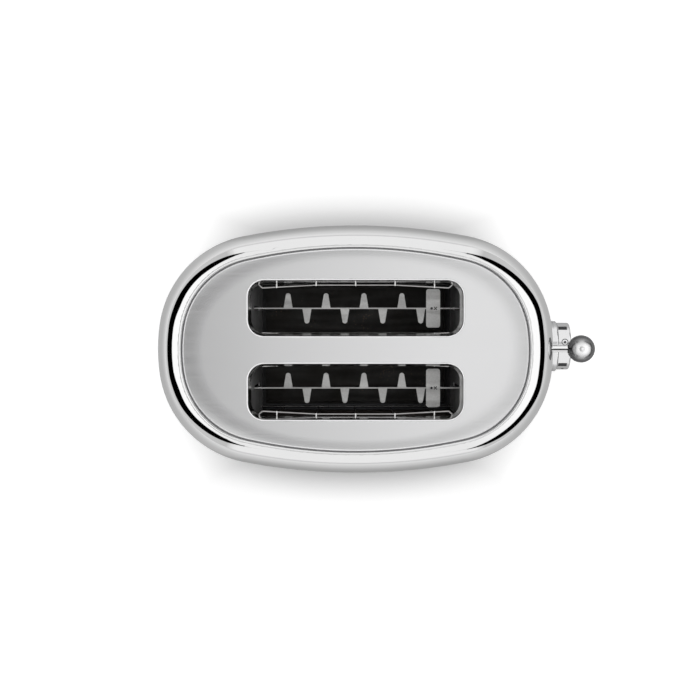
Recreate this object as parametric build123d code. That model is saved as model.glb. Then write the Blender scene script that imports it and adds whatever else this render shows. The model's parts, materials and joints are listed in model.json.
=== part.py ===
from build123d import *
import math
import os

# Two-slot pop-up toaster with an oval polished steel body.
# Millimetres, +Z up, +X towards the lever. The model is built about the body's centre line
# and then moved so that the origin is the middle of the whole object's footprint, on the floor.
# Every cut runs 1 mm past the face that it opens.

# Body outline: an end arc, a corner arc and a side arc in each quarter, all tangent
body_length = 310.0
body_width = 194.0
body_end_share = 140 / 194
body_end_angle = 8.0
body_corner_share = 82 / 194

# Polished shell
shell_bottom = 18.0
shell_crown = 201.0
shell_wall = 1.0
shoulder_radius = 32.0
shell_hem_radius = 8.0
shell_hem_width = 6.0
rim_roll_radius = 1.7
wall_cut_depth = 12.0
wall_cut_past = 5.0

# Brushed top plate and the slots in it
rim_end_width = 21.5
rim_side_width = 19.1
plate_end_share = 114 / 155.8
plate_end_angle = 9.0
plate_corner_share = 62 / 155.8
plate_drop = 4.0
plate_dome_radius = 6000.0
plate_wall = 1.0
plate_bead_radius = 1.3
plate_gap = 0.8
seal_drop = 3.5
seal_height = 4.0
skirt_depth = 12.0
slot_end_margin = 50.75
slot_width = 43.0
slot_corner_radius = 12.75
slot_spacing = 64.3
slot_lean = 2.0
slot_fold_radius = 1.5
slot_edge_tolerance = 0.25

# Ring that carries the plate and the shell's rim
liner_thickness = 1.5
liner_inner_reach = 5.0
liner_outer_reach = 7.0

# Base and feet
foot_height = 4.0
foot_radius = 9.0
foot_end_margin = 60.0
foot_side_margin = 34.0
foot_edge_radius = 1.0
foot_screw_recess = 0.6
plinth_inset = 9.0
plinth_wall = 3.0
base_floor = 2.0
base_flange = 2.0
base_upstand = 4.0
base_upstand_wall = 3.0
base_seat_gap = 0.3
vent_count = 9
vent_pitch = 14.0
vent_width = 4.0
vent_length = 30.0
base_screw_end_margin = 95.0
base_screw_gap = 6.5
boss_radius = 4.5
screw_radius = 1.5
screw_head_radius = 3.0
screw_head_height = 1.6
screw_cross_length = 3.2
screw_cross_width = 0.7
screw_cross_depth = 0.6

# Crumb tray
tray_side_margin = 45.0
tray_height = 9.0
tray_wall = 1.0
tray_end_gap = 4.0
tray_lift = 0.3
tray_side_gap = 0.4
tray_pull_reach = 4.5
tray_pull_width = 46.0
tray_pull_thickness = 3.0
tray_pull_rise = 2.0
tray_pull_corner = 3.6
tray_pull_overlap = 0.5
rail_width = 3.0
rail_height = 5.0
rail_setback = 22.0

# Chassis
chassis_sheet = 1.2
chamber_shift = 1.25
chamber_side_gap = 4.5
end_plate_wall = 1.0
end_plate_half_width = 66.0
crumb_opening_margin = 3.0

# Heaters
heater_wall = 1.0
inner_heater_y = 6.2
outer_heater_y = 57.0
heater_bottom = 30.0
heater_top_gap = 9.0
ribbon_rows = 10
ribbon_height = 1.6
ribbon_thickness = 0.3
ribbon_margin_x = 7.0
ribbon_margin_z = 9.0

# Wire bread guards
guard_wire_radius = 0.7
guard_wire_count = 5
guard_pitch_share = 0.42207
guard_end_gap = 10.25
guard_top_gap = 2.0
guard_pivot_z = 40.0
guard_inner_top_y = 12.9
guard_outer_top_y = 47.9
guard_inner_pivot_y = 11.3
guard_outer_pivot_y = 53.0
guard_bow = 2.3
guard_hook_reach = 4.3
guard_end_reach = 4.5
guard_corner_radius = 2.0
guard_bow_radius = 60.0
guard_hook_radius = 1.2
pivot_clearance = 0.06
pivot_overhang = 1.5
guard_weld_share = 1.2
upright_top_rise = 0.2
upright_foot_drop = 1.0

# Bread carriers
carrier_drop = 49.0
carrier_lowest_z = 76.0
carrier_height = 8.0
carrier_wall = 1.0
carrier_slot_clearance = 1.0
carrier_far_tail = 3.0
fin_count = 4
fin_first_share = 1.7745
fin_stagger_share = 0.4967
fin_reach = 11.7
fin_root_width = 7.2
fin_tip_width = 4.0
fin_wall = 0.8
rest_end_gap = 21.3
rest_width = 11.3
rest_length = 31.0
rest_corner_radius = 2.0
rest_wall = 0.8
rest_hole_radius = 0.6
rest_hole_pitch = 3.4

# Carriage and lever
guide_end_gap = 51.0
guide_rod_radius = 3.0
running_clearance = 0.05
block_length = 18.0
block_width = 24.0
block_height = 22.0
block_chamfer = 1.5
yoke_wall = 2.0
yoke_margin = 4.0
yoke_gap = 2.0
yoke_rod_gap = 1.0
yoke_stem_margin = 1.0
carrier_tail = 12.0
bracket_drop = 9.0
bracket_wall = 1.5
bracket_half_width = 20.0
bracket_reach = 12.0
bracket_lug_height = 12.0
lever_drop = 25.0
lever_rod_radius = 2.55
lever_stub_radius = 1.5
lever_arm_wall = 2.0
lever_arm_width = 12.0
lever_arm_over = 6.0
lever_arm_rise = 2.0
lever_arm_corner = 4.0
nut_height = 2.4
nut_radius = 3.2
ball_radius = 10.85
ball_proud = 23.65
ball_neck_radius = 4.4
ball_neck_length = 10.2
ball_bore_depth = 7.0
ball_meet_angle = 140.0
lever_slot_width = 7.0
lever_slot_margin = 2.4
slot_guard_wall = 1.5
slot_guard_border = 4.5
slot_guard_gap = 0.4

# Lift spring
spring_wire_radius = 0.6
spring_mean_radius = 5.6
spring_turns = 11
spring_seat_gap = 0.1

# Latch
magnet_y = 22.0
magnet_width = 16.0
magnet_depth = 14.0
magnet_leg = 4.0
magnet_air_gap = 0.3
armature_thickness = 3.0
armature_drop = 13.0
armature_post_width = 6.0
armature_setback = 2.0
coil_wall = 2.5
coil_corner = 2.0

# Controls
knob_z = 62.0
knob_radius = 20.0
knob_proud = 27.5
knob_gap = 0.4
knob_wall = 2.0
knob_edge_radius = 1.4
knob_dish_radius = 14.0
knob_dish_depth = 0.8
knob_shaft_radius = 3.0
knob_hub_radius = 6.0
grub_radius = 1.1
grub_angle = 70.0
grub_setback = 0.5
grub_proud = 1.5
grub_start_share = 0.9
bezel_radius = 21.4
bezel_depth = 3.2
bezel_edge_radius = 0.9
bezel_bore_clearance = 1.0
pod_radius = 20.9
pod_proud = 13.3
pod_wall = 2.0
pod_root_depth = 12.0
pot_size = 20.0
pot_depth = 10.0
pot_back_wall = 2.0
pot_boss_depth = 4.0
pot_boss_wall = 2.0
shaft_end_gap = 1.0
board_end_gap = 29.0
board_wall = 1.6
board_half_width = 42.0
board_bottom = 26.0
board_top = 90.0
control_foot_depth = 8.0
button_arc_radius = 33.0
button_angle = 45.0
button_radius = 5.0
button_stem_radius = 2.2
button_cap_depth = 7.0
button_proud = 3.0
button_travel = 1.5
button_clearance = 0.35
button_edge_radius = 0.8
button_bezel_wall = 1.4
button_bezel_proud = 1.2
button_bezel_depth = 6.0
button_bezel_edge_radius = 0.5
switch_size = 6.0
switch_depth = 4.0

# Inlet for the supply
gland_z = 34.0
gland_bore_radius = 3.6
gland_radius = 6.0
gland_flange_radius = 8.5
gland_flange_depth = 2.0
gland_depth = 14.0
terminal_end_gap = 43.0
terminal_length = 16.0
terminal_width = 30.0
terminal_height = 14.0
terminal_wells = 3
terminal_well_depth = 5.0
terminal_well_radius = 2.2

# Sizes that follow from the ones above
end_x = body_length / 2
body_end_radius = body_width * body_end_share
body_corner_radius = body_width * body_corner_share
plate_length = body_length - 2 * rim_end_width
plate_width = body_width - 2 * rim_side_width
plate_end_radius = plate_width * plate_end_share
plate_corner_radius = plate_width * plate_corner_share
plate_crown = shell_crown - plate_drop
skirt_bottom = plate_crown - skirt_depth
slot_length = plate_length - 2 * slot_end_margin
slot_y = slot_spacing / 2
chamber_far_x = -slot_length / 2 + chamber_shift
chamber_lever_x = slot_length / 2 + chamber_shift
chamber_half_width = outer_heater_y + chamber_side_gap
foot_x = end_x - foot_end_margin
foot_y = body_width / 2 - foot_side_margin
base_screw_x = end_x - base_screw_end_margin
base_screw_y = chamber_half_width + base_screw_gap
tray_width = body_width - 2 * tray_side_margin
tray_end_x = chamber_lever_x - tray_end_gap
heater_top = skirt_bottom - heater_top_gap
guard_top_z = skirt_bottom - guard_top_gap
guard_half_length = slot_length / 2 - guard_end_gap
guard_wire_pitch = guard_half_length * guard_pitch_share
carrier_top_z = skirt_bottom - carrier_drop
carriage_travel = carrier_top_z - carrier_lowest_z
fin_pitch = guard_wire_pitch
fin_first_x = -fin_pitch * fin_first_share
fin_stagger = fin_pitch * fin_stagger_share
rest_x = chamber_lever_x - rest_end_gap
guide_x = end_x - guide_end_gap
bracket_z = skirt_bottom - bracket_drop
lever_z = skirt_bottom - lever_drop
ball_centre_x = end_x + ball_proud
knob_front_x = end_x + knob_proud
pod_front_x = end_x + pod_proud
board_x = end_x - board_end_gap
terminal_x = -end_x + terminal_end_gap
base_bottom = foot_height
base_top = shell_bottom
hem_inset = shell_hem_radius + shell_hem_width
upstand_inset = hem_inset + base_seat_gap
chassis_z = base_top + base_upstand
chassis_top = chassis_z + chassis_sheet
liner_z = skirt_bottom - liner_thickness
far_face_x = chamber_far_x - end_plate_wall
lever_face_x = chamber_lever_x + end_plate_wall
carrier_bottom_z = carrier_top_z - carrier_height
carrier_end_x = lever_face_x + carrier_tail
yoke_z = carrier_bottom_z - yoke_wall
arm_x = guide_x + block_length / 2
board_front_x = board_x + board_wall
pot_front_x = board_front_x + pot_depth
bezel_front_x = pod_front_x + bezel_depth
knob_back_x = bezel_front_x + knob_gap
tray_low_z = base_bottom + base_floor + tray_lift
tray_high_z = tray_low_z + tray_height
lever_slot_low = lever_z - carriage_travel - lever_rod_radius - lever_slot_margin
lever_slot_high = lever_z + lever_rod_radius + lever_slot_margin
ball_reach = ball_centre_x + ball_radius
gland_reach = end_x + gland_flange_depth / 2
origin_x = (ball_reach - gland_reach) / 2


def quarter_centres(length, width, end_radius, end_angle, corner_radius):
    """Centres of the end, corner and side arcs of an oval, and the side arc's radius."""
    angle = math.radians(end_angle)
    end_centre = (length / 2 - end_radius, 0.0)
    step = end_radius - corner_radius
    corner_centre = (end_centre[0] + step * math.cos(angle), step * math.sin(angle))
    rise = corner_centre[1] - width / 2
    reach = corner_radius**2 - corner_centre[0] ** 2 - rise**2
    side_radius = reach / (2 * (rise + corner_radius))
    return end_centre, corner_centre, (0.0, width / 2 - side_radius), side_radius


def oval(length, width, end_radius, end_angle, corner_radius, inset=0.0):
    """A face bounded by eight tangent arcs, moved inwards by inset."""
    end_c, corner_c, side_c, side_radius = quarter_centres(
        length, width, end_radius, end_angle, corner_radius
    )
    side_angle = math.degrees(math.atan2(corner_c[1] - side_c[1], corner_c[0] - side_c[0]))

    def arc_point(centre, radius, degrees):
        turn = math.radians(degrees)
        return centre[0] + radius * math.cos(turn), centre[1] + radius * math.sin(turn)

    end = arc_point(end_c, end_radius - inset, 0)
    end_join = arc_point(end_c, end_radius - inset, end_angle)
    corner_radius = corner_radius - inset
    corner_mid = arc_point(corner_c, corner_radius, (end_angle + side_angle) / 2)
    side_join = arc_point(corner_c, corner_radius, side_angle)
    top = (0.0, width / 2 - inset)

    def turned(point, sign_x, sign_y):
        return point[0] * sign_x, point[1] * sign_y

    edges = []
    for sign_x in (1, -1):
        edges.append(
            ThreePointArc(
                turned(end_join, sign_x, -1), turned(end, sign_x, 1), turned(end_join, sign_x, 1)
            )
        )
        edges.append(
            ThreePointArc(
                turned(side_join, 1, sign_x), turned(top, 1, sign_x), turned(side_join, -1, sign_x)
            )
        )
        for sign_y in (1, -1):
            edges.append(
                ThreePointArc(
                    turned(end_join, sign_x, sign_y),
                    turned(corner_mid, sign_x, sign_y),
                    turned(side_join, sign_x, sign_y),
                )
            )
    return make_face(Wire(edges))


def body_oval(inset=0.0):
    return oval(
        body_length, body_width, body_end_radius, body_end_angle, body_corner_radius, inset
    )


def plate_oval(inset=0.0):
    return oval(
        plate_length, plate_width, plate_end_radius, plate_end_angle, plate_corner_radius, inset
    )


def prism(face, low, high):
    """The face pulled up from low to high."""
    return extrude(Pos(0, 0, low) * face, amount=high - low, dir=(0, 0, 1))


def block(x_range, y_range, z_range):
    """A box between two places on each axis."""
    low = Vector(x_range[0], y_range[0], z_range[0])
    size = Vector(x_range[1], y_range[1], z_range[1]) - low
    return Pos(*(low + size / 2)) * Box(size.X, size.Y, size.Z)


def rod(start, end, radius):
    """A round bar between two points."""
    span = Vector(*end) - Vector(*start)
    plane = Plane(origin=start, z_dir=span)
    return Solid.extrude(Face(Wire(plane * Edge.make_circle(radius))), span)


def rod_x(x_low, x_high, y, z, radius):
    return rod((x_low, y, z), (x_high, y, z), radius)


def rod_z(x, y, z_low, z_high, radius):
    return rod((x, y, z_low), (x, y, z_high), radius)


def joined(pieces):
    """One shape from a list of touching pieces."""
    result = pieces[0]
    for piece in pieces[1:]:
        result = result + piece
    return result


def rounded(part, z_level, radius):
    """The part with the edges that lie flat at one level rounded."""
    edges = part.edges().filter_by(lambda e: abs(e.bounding_box().min.Z - z_level) < 1e-4)
    return fillet(edges.filter_by(lambda e: abs(e.bounding_box().max.Z - z_level) < 1e-4), radius)


def write(name, shape):
    export_step(Pos(-origin_x, 0, 0) * shape, f"parts/{name}.step")


# Shell
def body_block(inset):
    """The body's outside form as one solid, or the same form moved inwards."""
    low = shell_bottom + inset
    high = shell_crown - inset
    solid = prism(body_oval(inset), low, high)
    solid = rounded(solid, high, shoulder_radius - inset)
    return rounded(solid, low, shell_hem_radius - inset)


def rim_edges(part, outline, tolerance=0.01):
    """The edges above the skirt's foot that follow an outline seen from above."""
    border = outline.wires()[0]

    def on_outline(edge):
        middle = edge @ 0.5
        lowest = min((edge @ 0).Z, (edge @ 1).Z)
        offset = border.distance_to(Vector(middle.X, middle.Y, 0))
        return lowest > skirt_bottom + shell_wall and offset < tolerance

    return part.edges().filter_by(on_outline)


def shell_cavity():
    """The hollow of the shell, which leaves a rolled wall round the plate's opening."""
    outline = plate_oval(-plate_gap - shell_wall)
    cavity = body_block(shell_wall) - prism(outline, skirt_bottom, shell_crown + 1)
    return fillet(rim_edges(cavity, outline), rim_roll_radius - shell_wall)


def button_places():
    """Height and side place of each push button, on an arc under the knob."""
    places = []
    for angle in (-90 - button_angle, -90, -90 + button_angle):
        turn = math.radians(angle)
        places.append((button_arc_radius * math.cos(turn), knob_z + button_arc_radius * math.sin(turn)))
    return places


def make_shell():
    outline = plate_oval(-plate_gap)
    solid = body_block(0) - prism(outline, skirt_bottom, shell_crown + 1)
    solid = fillet(rim_edges(solid, outline), rim_roll_radius) - shell_cavity()
    solid = solid - prism(body_oval(hem_inset), shell_bottom - 1, shell_bottom + shell_wall + 1)
    cut_x = (end_x - wall_cut_depth, end_x + wall_cut_past)
    slot_end = lever_slot_width / 2
    slot_z = (lever_slot_low + slot_end, lever_slot_high - slot_end)
    slot = block(cut_x, (-slot_end, slot_end), slot_z)
    for z in slot_z:
        slot = slot + rod_x(*cut_x, 0, z, slot_end)
    solid = solid - slot
    solid = solid - rod_x(*cut_x, 0, knob_z, knob_shaft_radius + bezel_bore_clearance)
    for y, z in button_places():
        solid = solid - rod_x(*cut_x, y, z, button_radius + button_clearance + button_bezel_wall)
    return solid - rod_x(-end_x - wall_cut_past, -end_x + wall_cut_depth, 0, gland_z, gland_radius)


# Top plate
def slot_form(grow, low, high):
    """The tapered form of one bread slot, grown outwards by grow."""
    depth = plate_crown - skirt_bottom

    def section(z):
        shrink = slot_lean * (plate_crown - z) / depth - grow
        size = (slot_length - 2 * shrink, slot_width - 2 * shrink)
        return Pos(0, 0, z) * RectangleRounded(*size, slot_corner_radius - shrink)

    return loft([section(low), section(high)])


def make_top_plate():
    def dome(wall):
        radius = plate_dome_radius - wall
        return Pos(0, 0, plate_crown - plate_dome_radius) * (Rot(90, 0, 0) * Sphere(radius))

    low = skirt_bottom - 1
    high = plate_crown + 2
    blank = prism(plate_oval(), skirt_bottom, high) & dome(0)
    hollow = prism(plate_oval(plate_wall), low, high) & dome(plate_wall)
    for side in (1, -1):
        blank = blank - Pos(0, side * slot_y, 0) * slot_form(0, low, high)
        hollow = hollow - Pos(0, side * slot_y, 0) * slot_form(plate_wall, low - 1, high)
    blank = fillet(rim_edges(blank, plate_oval()), plate_bead_radius)
    for side in (1, -1):
        outline = Pos(0, side * slot_y, 0) * RectangleRounded(slot_length, slot_width, slot_corner_radius)
        blank = fillet(rim_edges(blank, outline, slot_edge_tolerance), slot_fold_radius)
    return blank - hollow


def make_plate_seal():
    """A dark seal that fills the gap between the plate and the shell, just under the surface."""
    high = plate_crown - seal_drop
    low = high - seal_height
    return prism(plate_oval(-plate_gap), low, high) - prism(plate_oval(), low - 1, high + 1)


def make_rim_liner():
    outer = prism(plate_oval(-liner_outer_reach), liner_z, skirt_bottom)
    return outer - prism(plate_oval(liner_inner_reach), liner_z - 1, skirt_bottom + 1)


# Base
def base_screw_places():
    return [(x * base_screw_x, y * base_screw_y) for x in (1, -1) for y in (1, -1)]


def foot_places():
    return [(x * foot_x, y * foot_y) for x in (1, -1) for y in (1, -1)]


def base_slab():
    """Lowest and highest level of the base's flat floor."""
    return base_bottom, base_bottom + base_floor


def make_base_pan():
    """The flat floor with its vents and the holes for the screws."""
    low, high = base_slab()
    solid = prism(body_oval(plinth_inset), low, high)
    for x, y in base_screw_places():
        solid = solid - rod_z(x, y, low - 1, high + 1, screw_radius)
        solid = solid - rod_z(x, y, low - 1, low + screw_head_height, screw_head_radius)
    for x, y in foot_places():
        solid = solid - rod_z(x, y, low - 1, high + 1, screw_radius)
    first = -(vent_count - 1) / 2 * vent_pitch
    vent_y = (-vent_length / 2, vent_length / 2)
    for k in range(vent_count):
        x = first + k * vent_pitch
        solid = solid - block((x - vent_width / 2, x + vent_width / 2), vent_y, (low - 1, high + 1))
    return solid


def make_plinth_ring():
    """The plinth's wall, with a flange and an upstand inside the shell's hem."""
    low = base_slab()[1]
    flange_z = base_top - base_flange
    solid = prism(body_oval(plinth_inset), low, base_top)
    solid = solid + prism(body_oval(upstand_inset), base_top, chassis_z)
    solid = solid - prism(body_oval(plinth_inset + plinth_wall), low - 1, flange_z)
    solid = solid - prism(body_oval(upstand_inset + base_upstand_wall), flange_z - 1, chassis_z + 1)
    half = tray_width / 2 + tray_side_gap
    return solid - block((-end_x, 0), (-half, half), (low - 1, low + tray_height + 1))


def make_tray_rails():
    low = base_slab()[1]
    half = tray_width / 2 + tray_side_gap
    x_range = (-end_x + plinth_inset + plinth_wall + rail_setback, tray_end_x)
    rails = []
    for side in (1, -1):
        y_range = sorted((side * half, side * (half + rail_width)))
        rails.append(block(x_range, y_range, (low, low + rail_height)))
    return rails


def make_base_bosses():
    """Posts that the base screws and the foot screws go into."""
    low = base_slab()[1]
    bosses = []
    for x, y in base_screw_places():
        post = rod_z(x, y, low, chassis_z, boss_radius)
        bosses.append(post - rod_z(x, y, low - 1, chassis_z + 1, screw_radius))
    for x, y in foot_places():
        post = rod_z(x, y, low, low + rail_height, boss_radius)
        bosses.append(post - rod_z(x, y, low - 1, low + rail_height - 1, screw_radius))
    return bosses


def make_feet():
    feet = []
    for x, y in foot_places():
        foot = rod_z(x, y, 0, foot_height, foot_radius)
        foot = fillet(foot.edges().group_by(Axis.Z)[0], foot_edge_radius)
        foot = foot - rod_z(x, y, -1, screw_head_height + foot_screw_recess, screw_head_radius)
        foot = foot - rod_z(x, y, 0, foot_height + 1, screw_radius)
        feet.append(foot)
    return feet


def screw(x, y, low, high):
    """A pan head screw that points up, with a cross recess in its head."""
    body = rod_z(x, y, low, high, screw_radius)
    body = body + rod_z(x, y, low, low + screw_head_height, screw_head_radius)
    bar = Box(screw_cross_length, screw_cross_width, 2 * screw_cross_depth)
    for angle in (0, 90):
        body = body - Pos(x, y, low) * (Rot(0, 0, angle) * bar)
    return body


def make_foot_screws():
    top = base_slab()[1] + rail_height - 1
    return [screw(x, y, foot_screw_recess, top) for x, y in foot_places()]


def make_base_screws():
    return [screw(x, y, base_bottom, chassis_top) for x, y in base_screw_places()]


# Chassis
def make_chassis_floor():
    solid = prism(body_oval(upstand_inset), chassis_z, chassis_top)
    x_range = (chamber_far_x + crumb_opening_margin, chamber_lever_x - crumb_opening_margin)
    half = chamber_half_width - crumb_opening_margin
    solid = solid - block(x_range, (-half, half), (chassis_z - 1, chassis_top + 1))
    for x, y in base_screw_places():
        solid = solid - rod_z(x, y, chassis_z - 1, chassis_top + 1, screw_radius)
    return solid


def guard_lines():
    """Top place, pivot place and the side that each guard's hooks point to."""
    lines = []
    for side in (1, -1):
        lines.append((side * guard_outer_top_y, side * guard_outer_pivot_y, side))
        lines.append((side * guard_inner_top_y, side * guard_inner_pivot_y, -side))
    return lines


def make_end_plate(x_low):
    x_range = (x_low, x_low + end_plate_wall)
    half = end_plate_half_width
    solid = block(x_range, (-half, half), (chassis_top, liner_z))
    wide = carrier_wall / 2 + carrier_slot_clearance
    low = carrier_bottom_z - carriage_travel - carrier_slot_clearance * 2
    cut_x = (x_low - 1, x_low + end_plate_wall + 1)
    for side in (1, -1):
        y = side * slot_y
        high = carrier_top_z + carrier_slot_clearance * 2
        solid = solid - block(cut_x, (y - wide, y + wide), (low, high))
    for _, pivot_y, _ in guard_lines():
        radius = guard_wire_radius + pivot_clearance
        solid = solid - rod_x(*cut_x, pivot_y, guard_pivot_z, radius)
    return solid


def make_side_shield(side):
    y = side * (chamber_half_width + heater_wall / 2)
    y_range = (y - heater_wall / 2, y + heater_wall / 2)
    return block((chamber_far_x, chamber_lever_x), y_range, (chassis_top, liner_z))


def heater_places():
    """Board place and the side that its ribbon faces."""
    places = []
    for side in (1, -1):
        places.append((side * outer_heater_y, -side))
        places.append((side * inner_heater_y, side))
    return places


def make_heater_board(y):
    y_range = (y - heater_wall / 2, y + heater_wall / 2)
    return block((chamber_far_x, chamber_lever_x), y_range, (heater_bottom, heater_top))


def make_heater_ribbon(y, facing):
    """One ribbon that runs to and fro up the board."""
    face_y = y + facing * heater_wall / 2
    y_range = sorted((face_y, face_y + facing * ribbon_thickness))
    low_x = chamber_far_x + ribbon_margin_x
    high_x = chamber_lever_x - ribbon_margin_x
    low_z = heater_bottom + ribbon_margin_z
    pitch = (heater_top - heater_bottom - 2 * ribbon_margin_z) / (ribbon_rows - 1)
    pieces = []
    for row in range(ribbon_rows):
        z = low_z + row * pitch
        pieces.append(block((low_x, high_x), y_range, (z, z + ribbon_height)))
        if row < ribbon_rows - 1:
            link_x = (high_x - ribbon_height, high_x) if row % 2 == 0 else (low_x, low_x + ribbon_height)
            pieces.append(block(link_x, y_range, (z, z + pitch)))
    return joined(pieces)


# Bread guards
def guard_wire_places():
    first = -(guard_wire_count - 1) / 2 * guard_wire_pitch
    return [first + k * guard_wire_pitch for k in range(guard_wire_count)]


def bent_wire(points, radii):
    """A wire through the points, with its corners rounded."""
    line = FilletPolyline(*points, radius=radii)
    section = Plane(origin=line @ 0, z_dir=line % 0) * Circle(guard_wire_radius)
    return sweep(section, path=line)


def make_guard(top_y, pivot_y, outward):
    """A wire grille: a bowed top wire, upright wires with hooked tops and a pivot wire."""
    span = guard_half_length
    bowed_y = top_y + outward * guard_bow
    tip = (span + guard_end_reach, top_y + outward * guard_end_reach)
    half = [(guard_wire_pitch, bowed_y), (span, top_y), tip]
    plan = [(-x, y) for x, y in reversed(half)] + half
    radii = [guard_corner_radius, guard_bow_radius, guard_bow_radius, guard_corner_radius]
    pieces = [bent_wire([(x, y, guard_top_z) for x, y in plan], radii)]
    x_range = (far_face_x - pivot_overhang, lever_face_x + pivot_overhang)
    pieces.append(rod_x(*x_range, pivot_y, guard_pivot_z, guard_wire_radius))
    weld = outward * guard_wire_radius * guard_weld_share
    upright_z = guard_top_z + upright_top_rise
    for x in guard_wire_places():
        share = min(1, (span - abs(x)) / (span - guard_wire_pitch))
        y = top_y + outward * guard_bow * share + weld
        foot = (x, pivot_y + weld, guard_pivot_z - upright_foot_drop)
        hook = (x, y + outward * guard_hook_reach, upright_z)
        pieces.append(bent_wire([foot, (x, y, upright_z), hook], guard_hook_radius))
    return joined(pieces)


# Carriage
def make_fin(x, y, side):
    """A flat tapered fin with a round tip, bent out to one side of the strip."""
    tip = fin_tip_width / 2
    root = fin_root_width / 2
    start = carrier_wall / 2
    shoulder = start + fin_reach - tip
    sides = Polyline((-tip, shoulder), (-root, start), (root, start), (tip, shoulder))
    nose = ThreePointArc((tip, shoulder), (0, start + fin_reach), (-tip, shoulder))
    outline = make_face(Wire([*sides.edges(), nose]))
    fin = extrude(outline, amount=fin_wall, dir=(0, 0, 1))
    turn = 0 if side > 0 else 180
    return Pos(x, y, carrier_top_z - fin_wall) * (Rot(0, 0, turn) * fin)


def make_carrier(side):
    y = side * slot_y
    y_range = (y - carrier_wall / 2, y + carrier_wall / 2)
    x_range = (far_face_x - carrier_far_tail, carrier_end_x)
    pieces = [block(x_range, y_range, (carrier_bottom_z, carrier_top_z))]
    for k in range(fin_count):
        x = fin_first_x + k * fin_pitch
        pieces.append(make_fin(x, y, 1))
        pieces.append(make_fin(x + fin_stagger, y, -1))
    return joined(pieces)


def make_bread_rest(side):
    y = side * slot_y
    plate = RectangleRounded(rest_width, rest_length, rest_corner_radius)
    solid = prism(Pos(rest_x, y, 0) * plate, carrier_top_z, carrier_top_z + rest_wall)
    for end in (1, -1):
        x = rest_x + end * rest_hole_pitch / 2
        solid = solid - rod_z(x, y, carrier_top_z - 1, carrier_top_z + rest_wall + 1, rest_hole_radius)
    return solid


def make_yoke():
    """A sheet that joins the two carriers to the slide block and the armature's post."""
    half = slot_y + yoke_margin
    stem_half = magnet_y + armature_post_width / 2 + yoke_stem_margin
    solid = block((lever_face_x + yoke_gap, arm_x), (-half, half), (yoke_z, carrier_bottom_z))
    cut_z = (yoke_z - 1, carrier_bottom_z + 1)
    for side in (1, -1):
        y_range = sorted((side * stem_half, side * (half + 1)))
        solid = solid - block((carrier_end_x + yoke_gap, arm_x + 1), y_range, cut_z)
    return solid - rod_z(guide_x, 0, *cut_z, guide_rod_radius + yoke_rod_gap)


def make_slide_block():
    x_range = (guide_x - block_length / 2, arm_x)
    y_range = (-block_width / 2, block_width / 2)
    solid = block(x_range, y_range, (carrier_bottom_z, carrier_bottom_z + block_height))
    bore = guide_rod_radius + running_clearance
    solid = solid - rod_z(guide_x, 0, carrier_bottom_z - 1, carrier_bottom_z + block_height + 1, bore)
    corners = solid.edges().filter_by(Axis.Z).filter_by(lambda e: abs(e.center().Y) > block_width / 4)
    return chamfer(corners, block_chamfer)


def make_guide_bracket():
    y_range = (-bracket_half_width, bracket_half_width)
    bracket_top = bracket_z + bracket_wall
    solid = block((lever_face_x, guide_x + bracket_reach), y_range, (bracket_z, bracket_top))
    lug_x = (lever_face_x, lever_face_x + bracket_wall)
    solid = solid + block(lug_x, y_range, (bracket_z - bracket_lug_height, bracket_top))
    return solid - rod_z(guide_x, 0, bracket_z - 1, bracket_top + 1, guide_rod_radius)


def make_guide_rod():
    return rod_z(guide_x, 0, chassis_top, bracket_z + bracket_wall + 1, guide_rod_radius)


def make_lift_spring():
    """An extension spring round the guide rod, from the block up to the bracket."""
    seat = spring_wire_radius + spring_seat_gap
    low = carrier_bottom_z + block_height + seat
    height = bracket_z - seat - low
    line = Pos(guide_x, 0, low) * Helix(height / spring_turns, height, spring_mean_radius)
    section = Plane(origin=line @ 0, z_dir=line % 0) * Circle(spring_wire_radius)
    return sweep(section, path=line)


def make_lever_arm():
    half = lever_arm_width / 2
    x_range = (arm_x, arm_x + lever_arm_wall)
    z_range = (carrier_bottom_z + lever_arm_rise, lever_z + lever_arm_over)
    solid = block(x_range, (-half, half), z_range)
    solid = fillet(solid.edges().filter_by(Axis.X).group_by(Axis.Z)[-1], lever_arm_corner)
    return solid - rod_x(arm_x - 1, arm_x + lever_arm_wall + 1, 0, lever_z, lever_stub_radius)


def make_lever_rod():
    start = arm_x + lever_arm_wall
    bore_end = ball_centre_x - ball_neck_length + ball_bore_depth
    solid = rod_x(start, bore_end, 0, lever_z, lever_rod_radius)
    return solid + rod_x(arm_x - nut_height, start, 0, lever_z, lever_stub_radius)


def make_lever_nut():
    nut = Pos(arm_x - nut_height, 0, lever_z) * (Rot(0, 90, 0) * RegularPolygon(nut_radius, 6))
    solid = extrude(nut, amount=nut_height, dir=(1, 0, 0))
    return solid - rod_x(arm_x - nut_height - 1, arm_x + 1, 0, lever_z, lever_stub_radius)


def make_lever_ball():
    """A polished ball with a short flared neck, bored for the rod."""
    neck_x = -ball_neck_length
    meet = math.radians(ball_meet_angle)
    meet_x = ball_radius * math.cos(meet)
    meet_y = ball_radius * math.sin(meet)
    with BuildPart() as ball:
        with BuildSketch(Plane.XY):
            with BuildLine():
                Line((neck_x, 0), (ball_radius, 0))
                ThreePointArc((ball_radius, 0), (0, ball_radius), (meet_x, meet_y))
                Line((meet_x, meet_y), (neck_x, ball_neck_radius))
                Line((neck_x, ball_neck_radius), (neck_x, 0))
            make_face()
        revolve(axis=Axis.X)
    solid = Pos(ball_centre_x, 0, lever_z) * ball.part
    bore_x = ball_centre_x - ball_neck_length
    return solid - rod_x(bore_x - 1, bore_x + ball_bore_depth, 0, lever_z, lever_rod_radius)


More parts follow.
